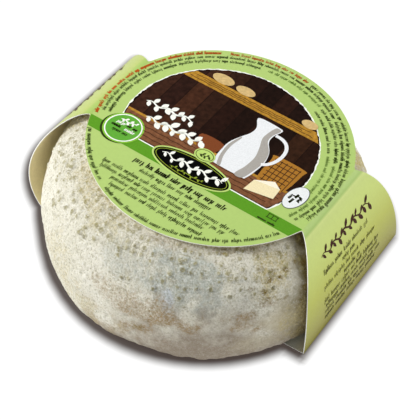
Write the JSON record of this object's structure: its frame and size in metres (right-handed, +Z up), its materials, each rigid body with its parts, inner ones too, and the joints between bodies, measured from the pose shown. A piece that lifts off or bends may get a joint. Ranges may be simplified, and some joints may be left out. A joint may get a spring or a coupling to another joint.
{
  "type": "cheese wheel",
  "caption": "Small round cheese with a pale bumpy mould-ripened rind, held in a wrap-round printed card sleeve with a disc-shaped top and flared side panels.",
  "frame": {"origin": "on the surface that the card's bottom panel stands on, under the middle of the part's box", "axes": "+Z up; +X towards the sleeve panel that is drawn tight, -X towards the looser one; the camera of the picture looks from -Y and a little +X"},
  "size_m": [0.1731, 0.1699, 0.0677],
  "materials": {
    "mould_ripened_rind": "matt felt-like mould rind, cream to grey-beige with olive-brown bumps",
    "coated_cartonboard": "satin coated card, printed light green outside, plain grey-white inside"
  },
  "bodies": {
    "root": {"cheese_wheel": "mould_ripened_rind", "card_sleeve": "coated_cartonboard"}
  },
  "joints": []
}
